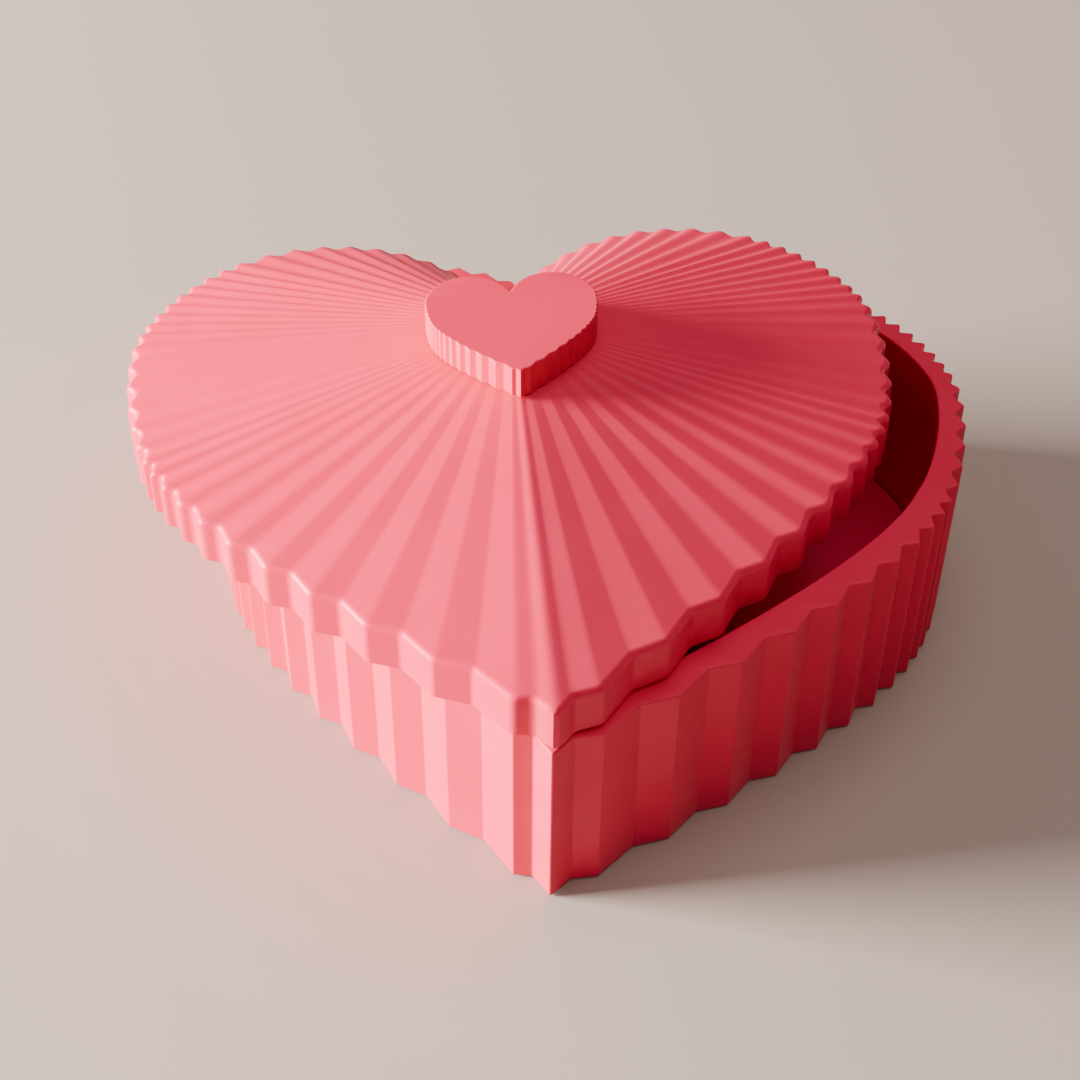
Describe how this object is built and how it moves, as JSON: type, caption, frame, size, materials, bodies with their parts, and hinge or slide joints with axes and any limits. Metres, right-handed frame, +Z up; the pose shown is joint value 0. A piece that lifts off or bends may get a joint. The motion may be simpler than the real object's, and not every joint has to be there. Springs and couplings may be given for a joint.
{
  "type": "wind-up music box",
  "caption": "Pleated heart-shaped box with a swivelling conical lid and heart knob, and a wind-up comb movement on a raised deck with its key in a well underneath.",
  "frame": {"origin": "the lid's pivot axis where it meets the plane that the box stands on, on the flat underside behind the heart's tip", "axes": "+Z up along the lid's pivot axis; +Y from the heart's tip to its lobes, along the box's own centre line; +X to the right of someone facing the tip"},
  "size_m": [0.1656, 0.136, 0.0691],
  "materials": {
    "coral_plastic": "matte moulded plastic, coral red",
    "steel": "bright drawn steel",
    "dark_steel": "blackened steel",
    "zinc": "bare die-cast zinc, grey",
    "brass": "bright turned brass",
    "nylon": "natural nylon"
  },
  "bodies": {
    "box": {"box_body": "coral_plastic", "floor_plate": "coral_plastic", "movement_deck": "coral_plastic", "movement_cover": "coral_plastic", "bedplate": "zinc", "comb": "steel", "comb_screw_1": "steel", "comb_screw_2": "steel", "mount_screw_1": "dark_steel", "mount_screw_2": "dark_steel", "mount_screw_3": "dark_steel", "spring_housing": "dark_steel", "mainspring": "steel", "cylinder_bridge": "zinc", "end_bracket": "dark_steel", "governor_frame": "zinc", "bracket_screw": "steel", "governor_screw": "steel"},
    "lid": {"lid_shell": "coral_plastic", "knob": "coral_plastic", "knob_screw": "steel", "pivot_pin": "steel"},
    "cylinder": {"music_cylinder": "brass", "cylinder_pinion": "brass", "cylinder_arbor": "steel", "cylinder_gear": "brass"},
    "key": {"winding_key": "dark_steel", "spring_arbor": "steel", "great_wheel": "brass"},
    "governor": {"governor_arbor": "steel", "governor_pinion": "steel", "worm_wheel": "nylon"},
    "fly": {"worm_shaft": "steel", "fly_blades": "nylon"}
  },
  "joints": [
    {"name": "lid_swivel", "type": "hinge", "parent": "box", "child": "lid", "pos_m": [0, 0, 0.0415], "axis": [0, 0, 1], "range_deg": [-110.1, 89.9]},
    {"name": "cylinder_spin", "type": "hinge", "parent": "box", "child": "cylinder", "pos_m": [0.008, 0.0715, 0.02851], "axis": [1, 0, 0], "continuous": true},
    {"name": "key_turn", "type": "hinge", "parent": "box", "child": "key", "pos_m": [-0.015, 0.0715, 0.008], "axis": [0, 0, 1], "continuous": true},
    {"name": "governor_spin", "type": "hinge", "parent": "box", "child": "governor", "pos_m": [0.02, 0.079, 0.02354], "axis": [1, 0, 0], "continuous": true},
    {"name": "fly_spin", "type": "hinge", "parent": "box", "child": "fly", "pos_m": [0.0217, 0.0848, 0.03], "axis": [0, 0, 1], "continuous": true}
  ],
  "couplings": [
    {"joint": "key_turn", "follows": "cylinder_spin", "ratio": 0.3},
    {"joint": "governor_spin", "follows": "cylinder_spin", "ratio": -4},
    {"joint": "fly_spin", "follows": "cylinder_spin", "ratio": 40}
  ]
}
